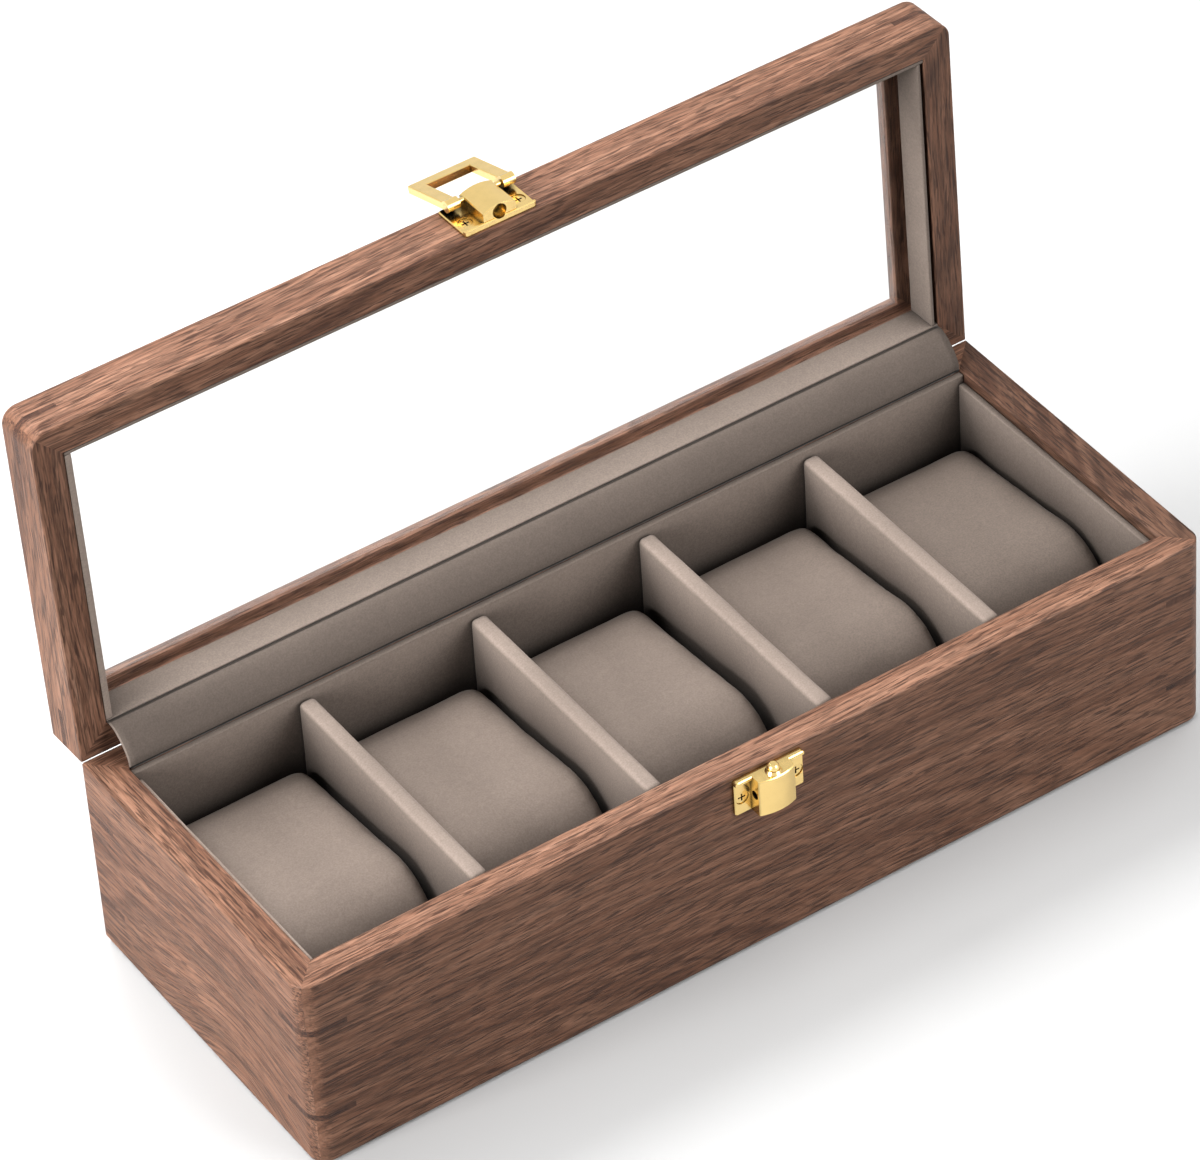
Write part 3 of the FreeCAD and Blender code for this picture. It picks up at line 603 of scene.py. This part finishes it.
def make_dividers():
    for number in range(1, 5):
        node = "divider_%d" % number
        low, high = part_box(node)
        seed = DIVIDER_SEED + number
        # a painted highlight along the top, with painted shade just below it
        top = (Z, high.z - DIVIDER_TOP_HIGHLIGHT[0], high.z - DIVIDER_TOP_HIGHLIGHT[1], 0.88, 1.2)
        # painted shade, darker towards the bottom
        deep_shade = (Z, DEEP_SHADE_HEIGHT, DEEP_SHADE_HEIGHT + DIVIDER_SHADE_FADE, 0.55, 1.0)
        piece = rounded_box(node + "_velvet", low, high, DIVIDER_ROUND, DIVIDER_GRID, DIVIDER_RELIEF, seed,
                            velvet(node, seed, (top, deep_shade)))
        stand_in(piece, "base", node)


LID_LINING_ROUND = 0.3 * MM
LID_LINING_RELIEF = 0.1 * MM
LID_LINING_SEED = 20
RIM_EDGE_LIGHT_AND_SHADE = (0.2 * MM, 0.5 * MM)
LIP_GAP = 0.7 * MM
TURN_SHUT = Matrix.Rotation(OPEN_ANGLE, 4, "X")


def make_lid_linings():
    """Drawn with the lid shut, then turned open about the hinge."""
    shut = Matrix.Translation(LID_HINGE) @ TURN_SHUT @ Matrix.Translation(-LID_HINGE)
    for seed, side in enumerate(("front", "back", "left", "right"), LID_LINING_SEED):
        node = "lid_%s_lining" % side
        corners = [shut @ v.co for v in NODES[node].data.vertices]
        low = Vector([min(c[i] for c in corners) for i in range(3)])
        high = Vector([max(c[i] for c in corners) for i in range(3)])
        rim = min((TURN_SHUT @ v.co).z for v in NODES[node].data.vertices)
        # at the rim edge, a painted highlight on the left lining and painted shade on the others
        edge = (Z, rim + RIM_EDGE_LIGHT_AND_SHADE[0], rim + RIM_EDGE_LIGHT_AND_SHADE[1], 1.4 if side == "left" else 0.9, 1.0)
        high.z -= LIP_GAP
        piece = rounded_box(node + "_velvet", low, high, LID_LINING_ROUND, LINING_GRID, LID_LINING_RELIEF,
                            seed, velvet(node, seed, (edge,), on_lid=True))
        piece.data.transform(shut.inverted())
        stand_in(piece, "lid", node)


# ---------------------------------------------------------------- pillows
PILLOW_VOXEL = 2.4 * MM
PILLOW_SHRINK = 0.3 * MM
PILLOW_SWELL = 0.5 * MM
PILLOW_PRESSURE = 4.0
SIM_FRAMES = 20
CLOTH = {"quality": 6, "mass": 0.15, "tension_stiffness": 12, "compression_stiffness": 12,
         "shear_stiffness": 5, "bending_stiffness": 0.4, "use_pressure": True}
PILLOW_SEED = 30
# painted shade in the pillows' corners, and on their flanks below the top edge
PILLOW_HOLLOW_SHADE = (0.012, 0.6)
PILLOW_SIDE_SHADE = (0.3 * MM, 1.2 * MM, 0.35)
# painted light falling off from the left: each pillow further right is painted darker
FIRST_PILLOW_LIGHT, PILLOW_LIGHT_STEP = 1.10, 0.05
# the filling's unevenness and the pull of the seam: features a metre, height, seed step
FILLING = (70, 0.12 * MM, 5.1)
SEAM_PULL = (260, 0.22 * MM, 3.7)
SEAM_REACH = 6 * MM


def outer_shell(node):
    """The outer skin of a hollow CAD node, as a new mesh."""
    work = bmesh.new()
    work.from_mesh(NODES[node].data)
    bmesh.ops.remove_doubles(work, verts=work.verts, dist=1e-6)
    top = max(work.verts, key=lambda v: v.co.z)
    keep = {top}
    front = [top]
    while front:
        vert = front.pop()
        for edge in vert.link_edges:
            other = edge.other_vert(vert)
            if other not in keep:
                keep.add(other)
                front.append(other)
    bmesh.ops.delete(work, geom=[v for v in work.verts if v not in keep], context="VERTS")
    mesh = bpy.data.meshes.new(node)
    work.to_mesh(mesh)
    work.free()
    return mesh


def evaluated_points(piece):
    graph = bpy.context.evaluated_depsgraph_get()
    mesh = piece.evaluated_get(graph).to_mesh()
    points = np.empty(len(mesh.vertices) * 3, np.float32)
    mesh.vertices.foreach_get("co", points)
    piece.evaluated_get(graph).to_mesh_clear()
    return points.reshape(-1, 3).astype(float)


def apply_modifiers(piece):
    graph = bpy.context.evaluated_depsgraph_get()
    mesh = bpy.data.meshes.new_from_object(piece.evaluated_get(graph))
    piece.modifiers.clear()
    piece.data = mesh


def vertex_normals(mesh):
    normals = np.empty(len(mesh.vertices) * 3, np.float32)
    mesh.vertices.foreach_get("normal", normals)
    return normals.reshape(-1, 3).astype(float)


def set_points(mesh, points):
    mesh.vertices.foreach_set("co", points.astype(np.float32).ravel())
    mesh.update()


def rest_points(mesh):
    points = np.empty(len(mesh.vertices) * 3, np.float32)
    mesh.vertices.foreach_get("co", points)
    return points.reshape(-1, 3).astype(float)


def swell(piece, pressure, limit):
    """Let the cover fill out under pressure, no point moving further than the limit."""
    start = rest_points(piece.data)
    cloth = piece.modifiers.new("cloth", "CLOTH")
    for setting, value in CLOTH.items():
        setattr(cloth.settings, setting, value)
    cloth.settings.uniform_pressure_force = pressure
    cloth.settings.effector_weights.gravity = 0
    cloth.point_cache.frame_start = 1
    cloth.point_cache.frame_end = SIM_FRAMES
    for step in range(1, SIM_FRAMES + 1):
        bpy.context.scene.frame_set(step)
    moved = evaluated_points(piece) - start
    piece.modifiers.remove(cloth)
    bpy.context.scene.frame_set(1)
    length = np.linalg.norm(moved, axis=1, keepdims=True)
    eased = limit * np.tanh(length / limit)
    set_points(piece.data, start + moved * (eased / np.maximum(length, 1e-9)))


def make_pillow(number):
    node = "pillow_cover_%d" % number
    low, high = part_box(node)
    piece = bpy.data.objects.new("pillow_%d_velvet" % number, outer_shell(node))
    bpy.context.scene.collection.objects.link(piece)
    remesh = piece.modifiers.new("remesh", "REMESH")
    remesh.mode = "VOXEL"
    remesh.voxel_size = PILLOW_VOXEL
    apply_modifiers(piece)
    set_points(piece.data, rest_points(piece.data) - vertex_normals(piece.data) * PILLOW_SHRINK)
    swell(piece, PILLOW_PRESSURE, PILLOW_SWELL)
    crease(piece, low, high, number)
    piece.data.materials.clear()
    # painted shade darkens the pillow's flanks below its crisp top edge
    edge, face, shade_at_side = PILLOW_SIDE_SHADE
    side_shades = ((X, low.x + edge, low.x + face, shade_at_side, 1.0), (X, high.x - face, high.x - edge, 1.0, shade_at_side))
    # painted shade: pillows further right are painted darker
    piece.data.materials.append(velvet(node, PILLOW_SEED + number, side_shades, hollow_shade=PILLOW_HOLLOW_SHADE,
                                       light_and_shade=FIRST_PILLOW_LIGHT - PILLOW_LIGHT_STEP * (number - 1)))
    piece.data.shade_smooth()
    smooth = piece.modifiers.new("subdivision", "SUBSURF")
    smooth.levels = 1
    smooth.render_levels = 1
    stand_in(piece, "pillow_%d" % number, node, "pillow_core_%d" % number)


def crease(piece, low, high, seed):
    """Slight unevenness of the filling, and the pull of the seam round each end."""
    points = rest_points(piece.data)
    normals = vertex_normals(piece.data)
    soft_rate, soft_height, soft_step = FILLING
    pull_rate, pull_height, pull_step = SEAM_PULL
    for i, p in enumerate(points):
        place = Vector(p)
        soft = noise.noise(place * soft_rate + Vector((seed * soft_step, 0, 0)))
        end = min(p[X] - low.x, high.x - p[X]) / SEAM_REACH
        pull = max(0.0, 1.0 - end) * noise.noise(place * pull_rate + Vector((0, seed * pull_step, 0)))
        points[i] += normals[i] * (soft_height * soft + pull_height * pull)
    set_points(piece.data, points)


# ---------------------------------------------------------------- strip over the hinge
COVER_COLUMNS = 120
COVER_ROWS = 18
COVER_THICKNESS = 0.5 * MM
COVER_FLATNESS = 0.085
COVER_TUCK = 0.5 * MM
COVER_TUCK_REACH = 0.12
COVER_OVERRUN = 1.0 * MM
COVER_WAVE = 0.15 * MM
WAVE_RATES = (45, 120)
WAVE_SEED = 3.1
COVER_SEED = 50
# painted shade: the strip is painted darker than the other velvet
COVER_PAINTED_SHADE = 0.56


def make_hinge_cover():
    """An arch of cloth round the hinge line, tucked in at the foot and the head."""
    low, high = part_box("hinge_cover")
    outer = LID_HINGE.y - low.y
    foot = low.z - LID_HINGE.z
    quarter = outer * math.pi / 2
    length = quarter - foot
    columns = []
    for c in range(COVER_COLUMNS + 1):
        x = low.x + (high.x - low.x) * c / COVER_COLUMNS
        rows = []
        for r in range(COVER_ROWS + 1):
            run = foot + (length + COVER_OVERRUN) * r / COVER_ROWS
            wave = noise.noise(Vector((x * WAVE_RATES[0], run * WAVE_RATES[1], WAVE_SEED)))
            way = min(max(run / quarter, 0.0), 1.0)
            taut = 1 - COVER_FLATNESS * math.sin(math.pi * way)
            tucked = COVER_TUCK * max(0.0, 1 - min(way, 1 - way) / COVER_TUCK_REACH)
            radius = outer * taut - tucked - COVER_WAVE * (1 - wave)
            if run < 0:
                rows.append((x, -radius, run, -1.0, 0.0))
            else:
                turn = min(run / outer, math.pi / 2)
                over = max(0.0, run - quarter)
                rows.append((x, over - radius * math.cos(turn), radius * math.sin(turn),
                             -math.cos(turn), math.sin(turn)))
        columns.append(rows)
    verts = []
    for depth in (0.0, COVER_THICKNESS):
        for rows in columns:
            for x, y, z, ny, nz in rows:
                verts.append((x, LID_HINGE.y + y - ny * depth, LID_HINGE.z + z - nz * depth))
    width = COVER_ROWS + 1
    layer = width * (COVER_COLUMNS + 1)
    faces = []
    for c in range(COVER_COLUMNS):
        for r in range(COVER_ROWS):
            a = c * width + r
            ring = (a, a + width, a + width + 1, a + 1)
            faces.append(ring)
            faces.append(tuple(layer + k for k in reversed(ring)))
    for c in range(COVER_COLUMNS):
        for r, flip in ((0, False), (COVER_ROWS, True)):
            a = c * width + r
            ring = (a, layer + a, layer + a + width, a + width)
            faces.append(ring[::-1] if flip else ring)
    for r in range(COVER_ROWS):
        for c, flip in ((0, True), (COVER_COLUMNS, False)):
            a = c * width + r
            ring = (a, layer + a, layer + a + 1, a + 1)
            faces.append(ring[::-1] if flip else ring)
    # painted shadows in the creases at the foot and the head, and a painted highlight along the left end
    foot_painted_shadow = (Z, low.z + 0.8 * MM, low.z + 1.0 * MM, 0.12, 1.0)
    head_painted_shadow = (Y, high.y - 0.7 * MM, high.y - 0.2 * MM, 1.0, 0.3)
    left_end_highlight = (X, low.x + 0.3 * MM, low.x + 0.6 * MM, 1.9, 1.0)
    painted_lines = (foot_painted_shadow, head_painted_shadow, left_end_highlight)
    piece = add_object("hinge_cover_velvet", verts, faces,
                       velvet("hinge_cover", COVER_SEED, painted_lines, light_and_shade=COVER_PAINTED_SHADE))
    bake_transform(piece)
    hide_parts("hinge_cover")


FELT_SHAPE = {"radius": 0.3 * MM, "spacing": 6 * MM, "relief": 0.05 * MM, "seed": 60}


def make_felt():
    low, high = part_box("underside_felt")
    piece = rounded_box("underside_felt_sheet", low, high, material=felt_cloth(), **FELT_SHAPE)
    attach(piece, "base")
    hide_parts("underside_felt")


# ---------------------------------------------------------------- the whole
make_camera()
make_studio()
dress_cad_nodes()
make_linings()
make_dividers()
make_lid_linings()
for pillow_number in range(1, 6):
    make_pillow(pillow_number)
make_hinge_cover()
make_felt()
